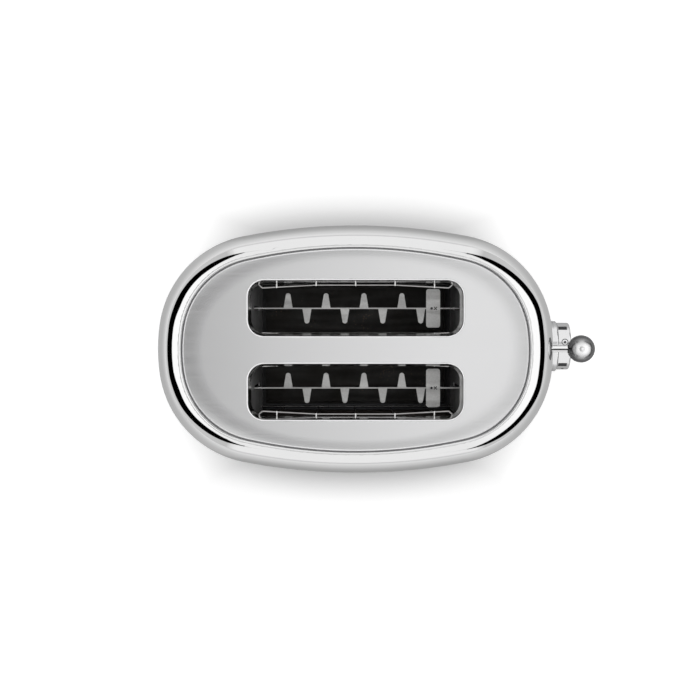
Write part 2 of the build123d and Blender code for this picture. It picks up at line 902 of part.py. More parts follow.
def make_lever_slot_guard():
    """A plastic frame behind the lever's slot in the shell."""
    face_x = end_x - shell_wall - slot_guard_gap
    half = lever_slot_width / 2
    wide = half + slot_guard_border
    z_range = (lever_slot_low - slot_guard_border, lever_slot_high + slot_guard_border / 2)
    solid = block((face_x - slot_guard_wall, face_x), (-wide, wide), z_range)
    cut_x = (face_x - slot_guard_wall - 1, face_x + 1)
    return solid - block(cut_x, (-half, half), (lever_slot_low, lever_slot_high))


# Latch
def armature_centre_x():
    return guide_x - armature_setback


def make_armature():
    """A steel pad on a post under the yoke."""
    x = armature_centre_x()
    top = yoke_z - armature_drop
    half = magnet_depth / 2
    pad = block(
        (x - magnet_width / 2, x + magnet_width / 2),
        (magnet_y - half, magnet_y + half),
        (top - armature_thickness, top),
    )
    post_half = armature_post_width / 2
    post_y = (magnet_y - post_half, magnet_y + post_half)
    post = block((x - post_half, x + post_half), post_y, (top, yoke_z))
    return pad + post


def magnet_top():
    return yoke_z - armature_drop - armature_thickness - carriage_travel - magnet_air_gap


def magnet_window():
    """Lowest and highest level of the core's waist, which the coil fills."""
    return chassis_top + magnet_leg, magnet_top() - magnet_leg


def make_magnet_core():
    x = armature_centre_x()
    low, high = magnet_window()
    half = magnet_depth / 2
    y_range = (magnet_y - half, magnet_y + half)
    x_range = (x - magnet_width / 2, x + magnet_width / 2)
    solid = block(x_range, y_range, (chassis_top, magnet_top()))
    for side in (1, -1):
        x_cut = sorted((x + side * magnet_leg, x + side * (magnet_width / 2 + 1)))
        solid = solid - block(x_cut, (y_range[0] - 1, y_range[1] + 1), (low, high))
    return solid


def make_magnet_coil():
    x = armature_centre_x()
    low, high = magnet_window()
    half = magnet_depth / 2
    outer = block(
        (x - magnet_leg - coil_wall, x + magnet_leg + coil_wall),
        (magnet_y - half - coil_wall, magnet_y + half + coil_wall),
        (low, high),
    )
    outer = fillet(outer.edges().filter_by(Axis.Z), coil_corner)
    core = block(
        (x - magnet_leg, x + magnet_leg), (magnet_y - half, magnet_y + half), (low - 1, high + 1)
    )
    return outer - core


# Controls
def make_knob_pod():
    """A hollow round boss that stands on the shell's end and carries the bezel."""
    root_x = end_x - pod_root_depth
    solid = rod_x(root_x, pod_front_x, 0, knob_z, pod_radius)
    solid = solid - rod_x(root_x - 1, pod_front_x - pod_wall, 0, knob_z, pod_radius - pod_wall)
    bore = knob_shaft_radius + bezel_bore_clearance
    solid = solid - rod_x(end_x, pod_front_x + 1, 0, knob_z, bore)
    return solid - prism(body_oval(), knob_z - 2 * knob_radius, knob_z + 2 * knob_radius)


def make_knob_bezel():
    solid = rod_x(pod_front_x, bezel_front_x, 0, knob_z, bezel_radius)
    solid = fillet(solid.edges().group_by(Axis.X)[-1], bezel_edge_radius)
    bore = knob_shaft_radius + bezel_bore_clearance
    return solid - rod_x(pod_front_x - 1, bezel_front_x + 1, 0, knob_z, bore)


def make_control_knob():
    """A turned cup with a shallow dish in its face, a hub and a radial screw hole."""
    solid = rod_x(knob_back_x, knob_front_x, 0, knob_z, knob_radius)
    solid = fillet(solid.edges().group_by(Axis.X)[-1], knob_edge_radius)
    dish = rod_x(knob_front_x - knob_dish_depth, knob_front_x + 1, 0, knob_z, knob_dish_radius)
    cup = rod_x(
        knob_back_x - 1, knob_front_x - knob_wall - knob_dish_depth, 0, knob_z, knob_radius - knob_wall
    )
    hub = rod_x(knob_back_x, knob_front_x - knob_wall, 0, knob_z, knob_hub_radius)
    shaft = rod_x(knob_back_x - 1, knob_front_x - 2 * knob_wall, 0, knob_z, knob_shaft_radius)
    return solid - dish - cup + hub - shaft - grub_hole(knob_radius + 1)


def grub_hole(reach):
    """A radial bar at the place of the knob's set screw."""
    x = (knob_back_x + knob_front_x) / 2 - grub_setback
    turn = math.radians(grub_angle)
    side = -math.sin(turn)
    rise = math.cos(turn)
    inner = knob_shaft_radius * grub_start_share
    start = (x, side * inner, knob_z + rise * inner)
    return rod(start, (x, side * reach, knob_z + rise * reach), grub_radius)


def make_set_screw():
    shaft = rod_x(knob_back_x - 1, knob_front_x, 0, knob_z, knob_shaft_radius)
    return grub_hole(knob_hub_radius + grub_proud) - shaft


def make_knob_shaft():
    start = board_front_x + pot_back_wall + shaft_end_gap
    return rod_x(start, knob_front_x - 2 * knob_wall, 0, knob_z, knob_shaft_radius)


def make_potentiometer():
    half = pot_size / 2
    solid = block((board_front_x, pot_front_x), (-half, half), (knob_z - half, knob_z + half))
    boss_end_x = pot_front_x + pot_boss_depth
    solid = solid + rod_x(pot_front_x, boss_end_x, 0, knob_z, knob_shaft_radius + pot_boss_wall)
    bore = knob_shaft_radius + running_clearance
    return solid - rod_x(board_front_x + pot_back_wall, boss_end_x + 1, 0, knob_z, bore)


def make_control_board():
    half = board_half_width
    return block((board_x, board_front_x), (-half, half), (board_bottom, board_top))


def make_control_bracket():
    half = board_half_width
    upright = block((board_x - bracket_wall, board_x), (-half, half), (chassis_top, board_top))
    foot_x_range = (board_x - control_foot_depth, board_x)
    foot = block(foot_x_range, (-half, half), (chassis_top, chassis_top + bracket_wall))
    return upright + foot


def make_button(y, z):
    """A round cap on a stem that reaches back to its switch."""
    face_x = end_x + button_proud - y**2 / (2 * body_corner_radius)
    stem_end = board_front_x + switch_depth + button_travel + button_clearance
    cap = rod_x(face_x - button_cap_depth, face_x, y, z, button_radius)
    cap = fillet(cap.edges().group_by(Axis.X)[-1], button_edge_radius)
    return cap + rod_x(stem_end, face_x - button_cap_depth, y, z, button_stem_radius)


def make_button_bezel(y, z):
    face_x = end_x + button_bezel_proud - y**2 / (2 * body_corner_radius)
    bore = button_radius + button_clearance
    outer = rod_x(face_x - button_bezel_depth, face_x, y, z, bore + button_bezel_wall)
    outer = fillet(outer.edges().group_by(Axis.X)[-1], button_bezel_edge_radius)
    return outer - rod_x(face_x - button_bezel_depth - 1, face_x + 1, y, z, bore)


def make_switch(y, z):
    half = switch_size / 2
    x_range = (board_front_x, board_front_x + switch_depth)
    return block(x_range, (y - half, y + half), (z - half, z + half))


# Crumb tray
def tray_block(inset, inset_width, low, high):
    """The tray's plan, cut to the base's curve at its outer end."""
    half = tray_width / 2 - inset_width
    plan = block((-end_x, tray_end_x - inset_width), (-half, half), (low, high))
    return plan & prism(body_oval(inset), low, high)


def make_crumb_tray():
    inner = plinth_inset + plinth_wall
    solid = tray_block(inner, 0, tray_low_z, tray_high_z)
    return solid - tray_block(inner + tray_wall, tray_wall, tray_low_z + tray_wall, tray_high_z + 1)


def make_tray_front():
    """The tray's plastic front, which closes the plinth and has a pull under the shell."""
    solid = tray_block(plinth_inset, 0, tray_low_z, tray_high_z)
    solid = solid - tray_block(plinth_inset + plinth_wall, -1, tray_low_z - 1, tray_high_z + 1)
    face_x = -end_x + plinth_inset
    pull_z = tray_low_z + tray_pull_rise
    pull = block(
        (face_x - tray_pull_reach, face_x + 1),
        (-tray_pull_width / 2, tray_pull_width / 2),
        (pull_z, pull_z + tray_pull_thickness),
    )
    pull = fillet(pull.edges().filter_by(Axis.Z).group_by(Axis.X)[0], tray_pull_corner)
    pull = pull - prism(body_oval(plinth_inset + tray_pull_overlap), tray_low_z, tray_high_z)
    return solid + pull


# Supply inlet
def make_cord_gland():
    inner_x = -end_x + gland_depth
    solid = rod_x(-gland_reach, -end_x, 0, gland_z, gland_flange_radius)
    solid = solid - prism(body_oval(), gland_z - 2 * gland_radius, gland_z + 2 * gland_radius)
    solid = solid + rod_x(-gland_reach, inner_x, 0, gland_z, gland_radius)
    return solid - rod_x(-gland_reach - 1, inner_x + 1, 0, gland_z, gland_bore_radius)


def make_terminal_block():
    half = terminal_width / 2
    x_range = (terminal_x - terminal_length / 2, terminal_x + terminal_length / 2)
    top = chassis_top + terminal_height
    pitch = terminal_width / terminal_wells
    solid = block(x_range, (-half, half), (chassis_top, top))
    for k in range(terminal_wells):
        y = (k - (terminal_wells - 1) / 2) * pitch
        solid = solid - rod_z(terminal_x, y, top - terminal_well_depth, top + 1, terminal_well_radius)
    return solid


def build():
    os.makedirs("parts", exist_ok=True)
    write("outer_shell", make_shell())
    write("top_plate", make_top_plate())
    write("plate_seal", make_plate_seal())
    write("rim_liner", make_rim_liner())
    write("base_pan", make_base_pan())
    write("plinth_ring", make_plinth_ring())
    write("tray_rails", Compound(make_tray_rails()))
    write("base_bosses", Compound(make_base_bosses()))
    write("rubber_feet", Compound(make_feet()))
    write("base_screws", Compound(make_foot_screws() + make_base_screws()))
    write("chassis_floor", make_chassis_floor())
    write("end_plate_far", make_end_plate(far_face_x))
    write("end_plate_lever", make_end_plate(chamber_lever_x))
    for k, side in enumerate((1, -1), start=1):
        write(f"side_shield_{k}", make_side_shield(side))
        write(f"bread_carrier_{k}", make_carrier(side))
        write(f"bread_rest_{k}", make_bread_rest(side))
    for k, (y, facing) in enumerate(heater_places(), start=1):
        write(f"heater_board_{k}", make_heater_board(y))
    ribbons = [make_heater_ribbon(y, facing) for y, facing in heater_places()]
    write("heater_ribbons_1", Compound(ribbons[:2]))
    write("heater_ribbons_2", Compound(ribbons[2:]))
    for k, (top_y, pivot_y, outward) in enumerate(guard_lines(), start=1):
        write(f"bread_guard_{k}", make_guard(top_y, pivot_y, outward))
    write("carriage_yoke", make_yoke())
    write("slide_block", make_slide_block())
    write("guide_bracket", make_guide_bracket())
    write("guide_rod", make_guide_rod())
    write("lift_spring", make_lift_spring())
    write("lever_arm", make_lever_arm())
    write("lever_rod", make_lever_rod())
    write("lever_nut", make_lever_nut())
    write("lever_ball", make_lever_ball())
    write("lever_slot_guard", make_lever_slot_guard())
    write("latch_armature", make_armature())
    write("magnet_core", make_magnet_core())
    write("magnet_coil", make_magnet_coil())
    write("knob_pod", make_knob_pod())
    write("knob_bezel", make_knob_bezel())
    write("control_knob", make_control_knob())
    write("knob_set_screw", make_set_screw())
    write("knob_shaft", make_knob_shaft())
    write("dial_potentiometer", make_potentiometer())
    write("control_board", make_control_board())
    write("control_bracket", make_control_bracket())
    for k, (y, z) in enumerate(button_places(), start=1):
        write(f"push_button_{k}", make_button(y, z))
    write("button_bezels", Compound([make_button_bezel(y, z) for y, z in button_places()]))
    write("button_switches", Compound([make_switch(y, z) for y, z in button_places()]))
    write("crumb_tray", make_crumb_tray())
    write("tray_front", make_tray_front())
    write("cord_gland", make_cord_gland())
    write("terminal_block", make_terminal_block())


build()
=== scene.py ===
# %% [markdown]
# A two-slot pop-up toaster with an oval steel body, seen from straight above.
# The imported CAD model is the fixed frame: it holds every plate, wire and lever at its real size.
# This lesson gives each of those parts a finish, adds the small trim that CAD leaves plain,
# and sets up a pale table, a soft studio and the camera.

# %% Load the frame
import json
import math

import bmesh
import bpy
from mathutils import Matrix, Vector


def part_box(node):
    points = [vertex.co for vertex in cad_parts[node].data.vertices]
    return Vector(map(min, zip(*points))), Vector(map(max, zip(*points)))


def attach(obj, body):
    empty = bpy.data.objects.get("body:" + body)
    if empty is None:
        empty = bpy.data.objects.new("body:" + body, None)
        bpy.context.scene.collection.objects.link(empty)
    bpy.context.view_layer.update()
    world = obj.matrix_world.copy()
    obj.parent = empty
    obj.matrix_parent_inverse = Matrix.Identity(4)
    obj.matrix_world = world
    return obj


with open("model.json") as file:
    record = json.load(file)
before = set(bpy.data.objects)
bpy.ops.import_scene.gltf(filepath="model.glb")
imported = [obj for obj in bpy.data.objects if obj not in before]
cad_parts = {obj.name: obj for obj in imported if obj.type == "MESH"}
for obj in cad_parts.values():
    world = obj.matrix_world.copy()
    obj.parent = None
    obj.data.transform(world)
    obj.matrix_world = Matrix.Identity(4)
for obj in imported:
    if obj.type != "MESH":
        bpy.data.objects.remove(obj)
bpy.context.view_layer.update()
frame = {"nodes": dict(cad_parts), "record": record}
nodes = frame["nodes"]

# %% [markdown]
# The CAD was drawn about the centre of the body, and its origin then moved to the middle of the
# whole footprint, lever ball included. The box of the shell gives that shift back, so every
# place below can be said from the body's own centre line, which is how a maker would measure.
# Seen from above, the body and its plate come close to superellipses of one power. That is good
# enough for the shaders, which only ask how far out a point lies.

# %% Find the body's centre line
shell_low, shell_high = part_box("outer_shell")
centre_x = (shell_low[0] + shell_high[0]) / 2
oval_power = 2.3
print("body centre lies at x =", round(centre_x, 5))

# %% [markdown]
# Shader trees get long when every node is made by hand. One small helper makes a node, sets its
# options, and for each input either links a socket or writes a number. Short ones built on it
# do sums, stretch one span of values to another, and blend values or colours.

# %% Helpers for shader nodes
def add_node(tree, kind, inputs=None, **settings):
    node = tree.nodes.new(kind)
    for key, value in settings.items():
        setattr(node, key, value)
    for key, value in (inputs or {}).items():
        if isinstance(value, bpy.types.NodeSocket):
            tree.links.new(value, node.inputs[key])
        else:
            node.inputs[key].default_value = value
    return node


def feed(tree, inputs, values):
    for label, value in values.items():
        tree.links.new(value, inputs[label])


def math_node(tree, operation, first, second=0.0, clamp=False):
    inputs = {0: first, 1: second}
    node = add_node(tree, "ShaderNodeMath", inputs, operation=operation, use_clamp=clamp)
    return node.outputs[0]


def plus(tree, first, second, clamp=False):
    return math_node(tree, "ADD", first, second, clamp)


def minus(tree, first, second, clamp=False):
    return math_node(tree, "SUBTRACT", first, second, clamp)


def times(tree, first, second):
    return math_node(tree, "MULTIPLY", first, second)


def over(tree, first, second, clamp=False):
    return math_node(tree, "DIVIDE", first, second, clamp)


def power(tree, base, exponent):
    return math_node(tree, "POWER", base, exponent)


def larger(tree, first, second):
    return math_node(tree, "MAXIMUM", first, second)


def absolute(tree, value):
    return math_node(tree, "ABSOLUTE", value)


def split(tree, vector):
    return add_node(tree, "ShaderNodeSeparateXYZ", {0: vector}).outputs


def remap(tree, value, span, result=(0.0, 1.0)):
    inputs = {"Value": value, 1: span[0], 2: span[1], 3: result[0], 4: result[1]}
    node = add_node(tree, "ShaderNodeMapRange", inputs, interpolation_type="SMOOTHSTEP")
    return node.outputs[0]


def blend_values(tree, share, first, second):
    inputs = {"Factor": share, "A": first, "B": second}
    return add_node(tree, "ShaderNodeMix", inputs, data_type="FLOAT").outputs[0]


def blend_colours(tree, share, first, second):
    first, second = ((*value, 1.0) if isinstance(value, tuple) else value
                     for value in (first, second))
    inputs = {"Factor": share, "A": first, "B": second}
    return add_node(tree, "ShaderNodeMix", inputs, data_type="RGBA").outputs["Result"]


def ramp(tree, value, stops):
    node = add_node(tree, "ShaderNodeValToRGB", {"Fac": value})
    steps = node.color_ramp.elements
    while len(steps) < len(stops):
        steps.new(0.5)
    for step, (position, level) in zip(steps, stops):
        step.position = position
        step.color = (level, level, level, 1.0)
    return node.outputs[0]


def oval_distance(tree, offsets, half_length, half_width):
    shares = [power(tree, absolute(tree, over(tree, offsets[axis], reach)), oval_power)
              for axis, reach in (("X", half_length), ("Y", half_width))]
    return power(tree, plus(tree, *shares), 1 / oval_power)


# %% [markdown]
# An effect that several finishes share is built once, as a node group with named inputs and
# outputs, and reused with other values. This helper opens a group and hands back what goes in
# and what comes out.

# %% Helper for node groups
def start_group(name, inputs, outputs):
    group = bpy.data.node_groups.new(name, "ShaderNodeTree")
    group.interface.new_socket("Vector", in_out="INPUT", socket_type="NodeSocketVector")
    for label, value in inputs.items():
        socket = group.interface.new_socket(label, in_out="INPUT", socket_type="NodeSocketFloat")
        socket.default_value = value
    for label in outputs:
        group.interface.new_socket(label, in_out="OUTPUT", socket_type="NodeSocketFloat")
    entry, leaving = group.nodes.new("NodeGroupInput"), group.nodes.new("NodeGroupOutput")
    return group, entry.outputs, leaving.inputs


def noise_in(group, place, scale, detail, **more):
    inputs = {"Vector": place, "Scale": scale, "Detail": detail, **more}
    return add_node(group, "ShaderNodeTexNoise", inputs).outputs["Fac"]


# %% [markdown]
# Brushed grain. A belt drags grit along the sheet and leaves thousands of fine parallel lines.
# Noise that is stretched far along one axis gives the same thing: long streaks of random depth.
# The group returns the streaks' height for a bump, and a slow value that varies the roughness.

# %% Group: brushed grain
def build_brushed_grain():
    group, given, result = start_group(
        "brushed_grain", {"Lines": 900.0, "Stretch": 60.0}, ["Height", "Streak"])
    lines = given["Lines"]
    along = over(group, lines, given["Stretch"])
    scale = add_node(group, "ShaderNodeCombineXYZ", {0: along, 1: lines, 2: lines}).outputs[0]
    place = add_node(group, "ShaderNodeVectorMath", {0: given["Vector"], 1: scale},
                     operation="MULTIPLY").outputs[0]
    feed(group, result, {
        "Height": noise_in(group, place, 1.0, 3.0, Roughness=0.6),
        "Streak": noise_in(group, place, 0.17, 2.0),
    })
    return group


# %% [markdown]
# Mottle. No plated or rolled sheet is perfectly even: its tone and gloss drift over centimetres.
# A low, soft noise gives that drift. It is kept weak on polished parts and strong on hot ones.

# %% Group: soft mottle
def build_soft_mottle():
    group, given, result = start_group(
        "soft_mottle", {"Patches": 25.0, "Contrast": 1.0}, ["Value"])
    noise = noise_in(group, given["Vector"], given["Patches"], 5.0, Roughness=0.55)
    spread = times(group, minus(group, noise, 0.5), given["Contrast"])
    feed(group, result, {"Value": plus(group, spread, 0.5, clamp=True)})
    return group


# %% [markdown]
# Hairline scratches. Wiping leaves a few thin arcs that only show as a change of gloss. The thin
# contour where a stretched noise passes through its middle value is a line of even width, which
# makes a good scratch; two directions are mixed so that they cross.

# %% Group: hairline scratches
def build_hairlines():
    group, given, result = start_group(
        "hairline_scratches", {"Density": 60.0, "Width": 0.01}, ["Mask"])
    crossing = []
    for turn, stretch in ((0.4, 9.0), (-0.9, 7.0)):
        inputs = {"Vector": given["Vector"], "Rotation": (0.0, 0.0, turn),
                  "Scale": (1.0, stretch, stretch)}
        place = add_node(group, "ShaderNodeMapping", inputs).outputs[0]
        noise = noise_in(group, place, given["Density"], 1.0)
        offset = absolute(group, minus(group, noise, 0.5))
        crossing.append(minus(group, 1.0, over(group, offset, given["Width"]), clamp=True))
    kept = remap(group, noise_in(group, given["Vector"], 30.0, 2.0), (0.52, 0.68))
    feed(group, result, {"Mask": times(group, larger(group, *crossing), kept)})
    return group


# %% [markdown]
# Moulded skin. Injection-moulded covers and rubber copy the fine spark texture of their mould.
# Small cells and noise together give a grain about half a millimetre wide.

# %% Group: moulded skin
def build_moulded_skin():
    group, given, result = start_group("moulded_skin", {"Grain": 1800.0}, ["Height", "Tone"])
    inputs = {"Vector": given["Vector"], "Scale": given["Grain"]}
    cells = add_node(group, "ShaderNodeTexVoronoi", inputs).outputs["Distance"]
    noise = noise_in(group, given["Vector"], 700.0, 4.0)
    feed(group, result, {"Height": plus(group, cells, noise), "Tone": noise})
    return group


# %% [markdown]
# Crumb dust. Inside a toaster pale crumbs and dust settle on whatever faces up. The mask joins
# scattered specks with the upward part of the surface's normal.

# %% Group: settled crumbs
def build_settled_crumbs():
    group, given, result = start_group("settled_crumbs", {"Amount": 0.5}, ["Mask"])
    inputs = {"Vector": given["Vector"], "Scale": 420.0, "Randomness": 1.0}
    specks = add_node(group, "ShaderNodeTexVoronoi", inputs).outputs["Distance"]
    dots = remap(group, specks, (0.30, 0.12))
    where = remap(group, noise_in(group, given["Vector"], 45.0, 3.0), (0.50, 0.72))
    normal = add_node(group, "ShaderNodeNewGeometry").outputs["Normal"]
    facing_up = remap(group, split(group, normal)["Z"], (0.3, 0.9))
    mask = times(group, times(group, dots, where), facing_up)
    feed(group, result, {"Mask": times(group, mask, given["Amount"])})
    return group


effects = {
    "grain": build_brushed_grain(),
    "mottle": build_soft_mottle(),
    "hairlines": build_hairlines(),
    "skin": build_moulded_skin(),
    "crumbs": build_settled_crumbs(),
}
print("shader groups:", ", ".join(group.name for group in effects.values()))

# %% [markdown]
# Every finish starts the same way: a Principled shader, and Object coordinates measured from the
# body's centre. The other helpers call an effect, tell how far a surface looks up, raise a bump,
# and move a colour a little to both sides of its tone. Nearly all of a noise lies in the
# middling span.

# %% Helpers for finishes
middling = (0.2, 0.8)


def start_finish(name, colour, metallic, roughness):
    material = bpy.data.materials.new(name)
    material.use_nodes = True
    material.diffuse_color = (*colour, 1.0)
    tree = material.node_tree
    shader = tree.nodes["Principled BSDF"].inputs
    shader["Base Color"].default_value = (*colour, 1.0)
    shader["Metallic"].default_value = metallic
    shader["Roughness"].default_value = roughness
    place = add_node(tree, "ShaderNodeTexCoord").outputs["Object"]
    shift = {"Vector": place, "Location": (-centre_x, 0.0, 0.0)}
    return material, tree, shader, add_node(tree, "ShaderNodeMapping", shift).outputs[0]


def use_effect(tree, effect, place, **values):
    node = add_node(tree, "ShaderNodeGroup", node_tree=effects[effect])
    tree.links.new(place, node.inputs["Vector"])
    for label, value in values.items():
        node.inputs[label].default_value = value
    return node.outputs


def upward(tree):
    return split(tree, add_node(tree, "ShaderNodeTexCoord").outputs["Normal"])["Z"]


def bump(tree, height, distance, strength=1.0, **under):
    inputs = {"Strength": strength, "Distance": distance, "Height": height, **under}
    return add_node(tree, "ShaderNodeBump", inputs).outputs["Normal"]


def shade(colour, amount):
    return tuple(min(1.0, part * amount) for part in colour)


def two_tones(tree, share, colour, spread):
    return blend_colours(tree, share, shade(colour, 1 - spread), shade(colour, 1 + spread))


# %% [markdown]
# Polished metals: the shell, the lever's rod and ball, the knob. They are almost mirrors, so
# their colour barely moves; what makes them real is gloss that drifts a little, with a few
# hairlines from wiping. The ball's colour carries painted light and shade: bright on its crown,
# painted dark on its flanks and a little lighter on its belly, by how far its surface faces up.

# %% Finish: polished metals
def wiped_gloss(tree, place, drift, roughness, density, hairline):
    marks = use_effect(tree, "hairlines", place, Density=density, Width=0.006)["Mask"]
    smooth = remap(tree, drift, middling, (roughness * 0.8, roughness * 1.25))
    return plus(tree, smooth, times(tree, marks, hairline))


def polished_metal(name, colour, roughness, hairline=0.10):
    material, tree, shader, place = start_finish(name, colour, 1.0, roughness)
    drift = use_effect(tree, "mottle", place, Patches=18.0)["Value"]
    feed(tree, shader, {
        "Base Color": two_tones(tree, drift, colour, 0.03),
        "Roughness": wiped_gloss(tree, place, drift, roughness, 55.0, hairline),
    })
    return material


def chrome_with_painted_shade(name, crown, flank, belly, roughness):
    crown_starts, crown_width, waist = 0.40, 0.58, (0.05, 0.40)
    material, tree, shader, place = start_finish(name, crown, 1.0, roughness)
    drift = use_effect(tree, "mottle", place, Patches=90.0)["Value"]
    wavy = plus(tree, upward(tree), times(tree, minus(tree, drift, 0.5), 0.10))
    # Painted light and shade: the colour is brightest where the surface faces up, darkest on the
    # flanks, and lighter again on the belly.
    share = over(tree, minus(tree, wavy, crown_starts), crown_width, clamp=True)
    painted_crown_light = blend_colours(tree, power(tree, share, 2.8), flank, crown)
    feed(tree, shader, {
        "Base Color": blend_colours(tree, remap(tree, wavy, waist), belly, painted_crown_light),
        "Roughness": wiped_gloss(tree, place, drift, roughness, 140.0, 0.10),
    })
    return material


polished = {
    "polished_steel": ((0.80, 0.80, 0.80), 0.035, 0.04),
    "lever_chrome": ((0.92, 0.92, 0.925), 0.10),
    "knob_chrome": ((0.80, 0.80, 0.805), 0.14),
    "button_chrome": ((0.72, 0.72, 0.72), 0.15),
    "bright_rod": ((0.66, 0.66, 0.66), 0.16),
}
finishes = {name: polished_metal(name, *values) for name, values in polished.items()}
# The lever's ball takes chrome with painted light and shade.
finishes["ball_chrome"] = chrome_with_painted_shade(
    "ball_chrome", (0.99, 0.99, 0.99), (0.15, 0.15, 0.152), (0.27, 0.27, 0.272), 0.25)
print("polished:", ", ".join(finishes))

# %% [markdown]
# The top plate. Its flat is brushed along the slots, while its rolled border and the folded lips
# of the slots are glossier and carry a painted highlight: their colour is lighter than the flat's.
# The surface's own normal tells them apart: wherever it leans away from straight up, the sheet is
# rolled and painted brighter, and where it hangs straight down it is dull and painted dark, as
# painted shade inside the slots. Near its border the real plate also dips by a fraction of a
# millimetre, which a wide, shallow bump gives.

# %% Finish: brushed top plate
def brushed_plate(name, colour):
    half_length, half_width = 0.1335, 0.0779
    dip_starts, dip_depth = 0.88, 0.044
    material, tree, shader, place = start_finish(name, colour, 1.0, 0.3)
    grain = use_effect(tree, "grain", place, Lines=2600.0, Stretch=90.0)
    drift = use_effect(tree, "mottle", place, Patches=9.0)["Value"]
    lean = upward(tree)
    flat = remap(tree, lean, (0.90, 0.985))
    hanging_lip_shade = remap(tree, lean, (0.22, 0.02))

    tone = plus(tree, times(tree, grain["Streak"], 0.7), times(tree, drift, 0.3))
    brushed = two_tones(tree, tone, colour, 0.035)
    # Painted highlight: the rolled border and the slots' lips are painted brighter than the flat.
    bright = blend_colours(tree, flat, shade(colour, 1.12), brushed)
    rough = remap(tree, grain["Streak"], (0.3, 0.7), (0.232, 0.252))
    rolled = remap(tree, flat, (0.0, 1.0), (0.10, rough))

    outward = oval_distance(tree, split(tree, place), half_length, half_width)
    past = larger(tree, minus(tree, outward, dip_starts), 0.0)
    dip = bump(tree, times(tree, power(tree, past, 2.0), -dip_depth), 1.0)
    lines = times(tree, grain["Height"], flat)
    feed(tree, shader, {
        # Painted shade: faces that hang straight down, inside the slots, are painted dark.
        "Base Color": blend_colours(tree, hanging_lip_shade, bright, shade(colour, 0.35)),
        "Roughness": remap(tree, hanging_lip_shade, (0.0, 1.0), (rolled, 0.45)),
        "Normal": bump(tree, lines, 0.00004, 0.25, Normal=dip),
    })
    return material


finishes["brushed_steel"] = brushed_plate("brushed_steel", (0.76, 0.76, 0.765))

# %% [markdown]
# Sheet metals of the works: carriers, brackets, tray, chamber walls. The chamber walls, the tray
# and the chamber floor are given near-black colours as painted shade of the deep chamber, with
# real crumbs on the tray; the end plates take a lighter copy of the chamber sheet, painted light
# where light reaches them. Rolled sheet has short grain, broad mottle, and where it gets hot,
# brown and grey scale with crumbs on top. The table gives each its colour, its stain, its
# roughness, and what else sets it apart.

# %% Finish: rolled and heated sheet
def sheet_metal(name, colour, stain, roughness, metallic=1.0, crumbs=0.0, patches=40.0):
    material, tree, shader, place = start_finish(name, colour, metallic, roughness)
    drift = use_effect(tree, "mottle", place, Patches=patches, Contrast=1.6)["Value"]
    tinted = blend_colours(tree, drift, stain, colour)
    if crumbs:
        fallen = use_effect(tree, "crumbs", place, Amount=crumbs)["Mask"]
        tinted = blend_colours(tree, fallen, tinted, (0.35, 0.24, 0.13))
        feed(tree, shader, {"Metallic": times(tree, minus(tree, 1.0, fallen), metallic)})
    grain = use_effect(tree, "grain", place, Lines=1500.0, Stretch=12.0)
    gloss = (roughness * 0.85, min(1.0, roughness * 1.2))
    feed(tree, shader, {
        "Base Color": tinted,
        "Roughness": remap(tree, grain["Streak"], (0.25, 0.75), gloss),
        "Normal": bump(tree, grain["Height"], 0.00005, 0.4),
    })
    return material


sheets = {
    "carrier_steel": ((0.70, 0.70, 0.695), (0.56, 0.555, 0.54), 0.42, {"patches": 700.0}),
    "galvanised_sheet": ((0.58, 0.60, 0.62), (0.42, 0.44, 0.46), 0.38, {"patches": 120.0}),
    "zinc_steel": ((0.62, 0.61, 0.56), (0.50, 0.47, 0.40), 0.30, {"patches": 90.0}),
    # Painted shade: the tray, the chamber sheet and the floor sheet are near-black; the end sheet
    # is their lighter, painted-light copy.
    "tray_steel": ((0.085, 0.085, 0.085), (0.045, 0.04, 0.035), 0.45, {"crumbs": 0.3}),
    "dark_sheet": ((0.030, 0.030, 0.030), (0.014, 0.013, 0.012), 0.60, {"metallic": 0.3}),
    "end_sheet_painted_light": ((0.46, 0.46, 0.465), (0.30, 0.30, 0.30), 0.50, {"metallic": 0.2}),
    "floor_sheet_painted_shade": ((0.05, 0.05, 0.052), (0.03, 0.03, 0.03), 0.50, {"metallic": 0.6}),
    "black_sheet": ((0.025, 0.025, 0.026), (0.012, 0.012, 0.012), 0.55, {"metallic": 0.0}),
    "crimp_zinc": ((0.90, 0.90, 0.895), (0.74, 0.73, 0.71), 0.26, {"patches": 260.0}),
    # This dark finish colours the painted reflection line on the lever rod.
    "rod_reflection_dark": ((0.10, 0.10, 0.10), (0.05, 0.05, 0.05), 0.40, {"patches": 300.0}),
    "guard_wire": ((0.58, 0.575, 0.57), (0.38, 0.37, 0.36), 0.30, {"patches": 150.0}),
    "heater_ribbon": ((0.16, 0.14, 0.13), (0.08, 0.065, 0.06), 0.50, {"patches": 200.0}),
}
for name, (colour, stain, roughness, special) in sheets.items():
    finishes[name] = sheet_metal(name, colour, stain, roughness, **special)
print("sheets:", ", ".join(sheets))

# %% [markdown]
# Covers, feet and insulators. Moulded parts get a fine grain in their skin; mica board is flaky
# with darker random patches, and its whole colour is painted near-black as painted shade of the
# deep slots; the coil is lacquered copper wire, wound in even rows; the circuit board is glass
# cloth in green lacquer.

# %% Finish: moulded and insulating parts
def moulded(name, colour, roughness, depth=0.00006, grain=1800.0):
    material, tree, shader, place = start_finish(name, colour, 0.0, roughness)
    skin = use_effect(tree, "skin", place, Grain=grain)
    drift = use_effect(tree, "mottle", place, Patches=30.0)["Value"]
    gloss = (roughness * 0.88, min(1.0, roughness * 1.1))
    feed(tree, shader, {
        "Base Color": two_tones(tree, drift, colour, 0.18),
        "Roughness": remap(tree, skin["Tone"], (0.3, 0.7), gloss),
        "Normal": bump(tree, skin["Height"], depth, 0.5),
    })
    return material


